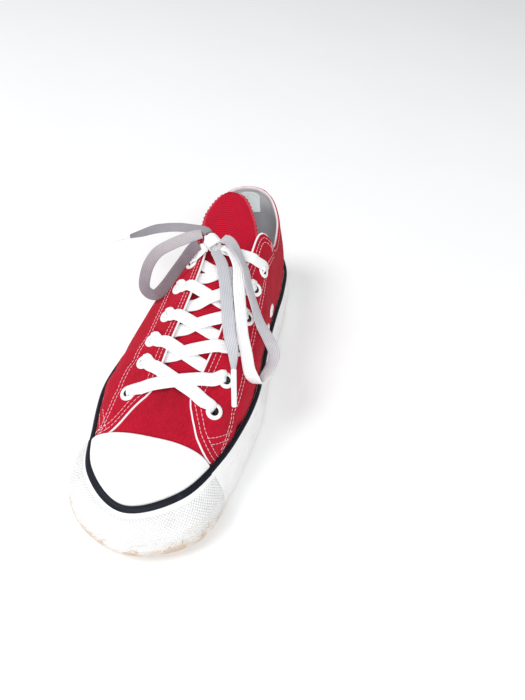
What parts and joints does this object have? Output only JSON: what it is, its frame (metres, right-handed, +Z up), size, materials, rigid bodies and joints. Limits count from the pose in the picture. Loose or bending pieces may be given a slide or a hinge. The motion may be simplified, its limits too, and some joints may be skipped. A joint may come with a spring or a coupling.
{
  "type": "canvas sneaker",
  "caption": "Low-cut laced canvas sneaker with rubber toe cap and bumper, foxing band, ribbed tongue and flat laces tied in a bow.",
  "frame": {"origin": "on the floor, under the plan centre of the sole and upper", "axes": "+Y towards the heel, -Y towards the toe, +X towards the inner side of the foot, +Z up"},
  "size_m": [0.1451, 0.2746, 0.1069],
  "materials": {
    "sole_rubber": "matt tan rubber",
    "white_rubber": "satin white rubber with scuffs",
    "canvas": "red plain-weave cotton canvas",
    "ribbed_canvas": "red ribbed cotton canvas",
    "lining": "pale cotton twill",
    "cotton_lace": "flat woven white lace",
    "enamel": "white enamelled metal",
    "lace_tip": "glossy white plastic"
  },
  "bodies": {
    "root": {"outsole": "sole_rubber", "foxing": "white_rubber", "toe_bumper": "white_rubber", "toe_cap": "white_rubber", "insole": "lining", "upper": "canvas", "tongue": "ribbed_canvas", "eyelet_inner_1": "enamel", "eyelet_inner_2": "enamel", "eyelet_inner_3": "enamel", "eyelet_inner_4": "enamel", "eyelet_inner_5": "enamel", "eyelet_inner_6": "enamel", "eyelet_outer_1": "enamel", "eyelet_outer_2": "enamel", "eyelet_outer_3": "enamel", "eyelet_outer_4": "enamel", "eyelet_outer_5": "enamel", "eyelet_outer_6": "enamel", "air_hole_1": "enamel", "air_hole_2": "enamel", "lace_crossing_1": "cotton_lace", "lace_crossing_2": "cotton_lace", "lace_crossing_3": "cotton_lace", "lace_crossing_4": "cotton_lace", "lace_crossing_5": "cotton_lace", "lace_top_bar": "cotton_lace", "lace_knot": "cotton_lace", "lace_loop_outer": "cotton_lace", "lace_loop_inner": "cotton_lace", "lace_end_outer": "cotton_lace", "lace_end_inner": "cotton_lace", "aglet_outer": "lace_tip", "aglet_inner": "lace_tip"}
  },
  "joints": []
}
